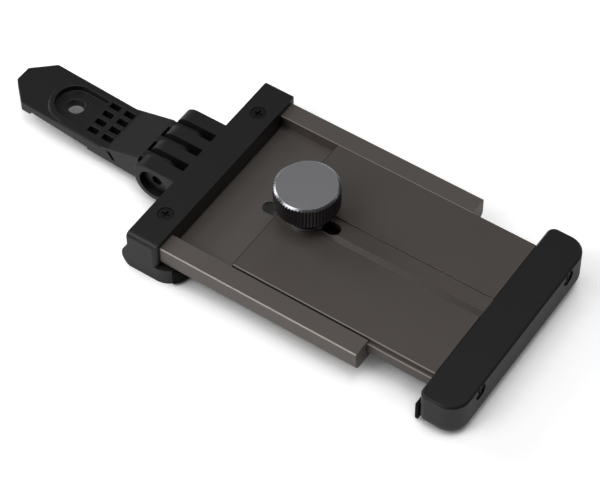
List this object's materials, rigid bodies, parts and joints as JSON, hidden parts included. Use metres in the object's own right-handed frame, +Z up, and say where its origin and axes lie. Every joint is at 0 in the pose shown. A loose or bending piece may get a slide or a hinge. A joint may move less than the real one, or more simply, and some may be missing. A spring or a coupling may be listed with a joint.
{
  "type": "phone holder",
  "caption": "Telescopic clamp phone holder: two sliding metal plates between black plastic jaws, locked by a knurled thumb knob, with a folding arm on a comb hinge.",
  "frame": {"origin": "on the table under the fixed jaw's inner face, on the mid-plane", "axes": "+X from the fixed jaw towards the sliding jaw, the way the holder opens; +Y across the plates; +Z up, from the jaws' feet to the knob"},
  "size_m": [0.1687, 0.067, 0.0256],
  "materials": {
    "anodised_plate": "matte warm grey anodised extrusion",
    "black_moulding": "fine spark-textured black moulding",
    "arm_moulding": "smooth satin black glass-filled moulding",
    "pad_rubber": "matte black rubber",
    "black_screw": "black oxide steel",
    "hinge_steel": "black oxide steel",
    "zinc_steel": "bright zinc plated",
    "knob_aluminium": "turned and knurled, dark grey anodised with a bright bevel"
  },
  "bodies": {
    "frame": {"fixed_plate": "anodised_plate", "fixed_jaw": "black_moulding", "fixed_jaw_pad": "pad_rubber", "fixed_jaw_screws": "black_screw", "hinge_bolt": "hinge_steel", "hinge_nut": "hinge_steel"},
    "slider": {"slide_plate": "anodised_plate", "slide_jaw": "black_moulding", "slide_jaw_pad": "pad_rubber", "slide_jaw_screws": "black_screw"},
    "clamp": {"clamp_plate": "zinc_steel", "clamp_stud": "zinc_steel"},
    "washer": {"knob_washer": "zinc_steel"},
    "knob": {"knob": "knob_aluminium"},
    "arm": {"arm": "arm_moulding"}
  },
  "joints": [
    {"name": "jaw_slide", "type": "slide", "parent": "frame", "child": "slider", "axis": [1, 0, 0], "range_m": [-0.0188, 0.0044]},
    {"name": "clamp_slide", "type": "slide", "parent": "frame", "child": "clamp", "axis": [1, 0, 0], "range_m": [-0.012, 0.00275]},
    {"name": "knob_lift", "type": "slide", "parent": "clamp", "child": "washer", "axis": [0, 0, 1], "range_m": [0, 0.00141]},
    {"name": "knob_turn", "type": "hinge", "parent": "washer", "child": "knob", "pos_m": [0.0267, 0, 0.02], "axis": [0, 0, 1], "range_deg": [0, 720]},
    {"name": "arm_hinge", "type": "hinge", "parent": "frame", "child": "arm", "pos_m": [-0.0172, 0, 0.0083], "axis": [0, 1, 0], "range_deg": [-93, 90]}
  ],
  "couplings": [
    {"joint": "clamp_slide", "follows": "jaw_slide", "ratio": 0.62},
    {"joint": "knob_lift", "follows": "knob_turn", "m_per_rad": 0.00011141}
  ]
}
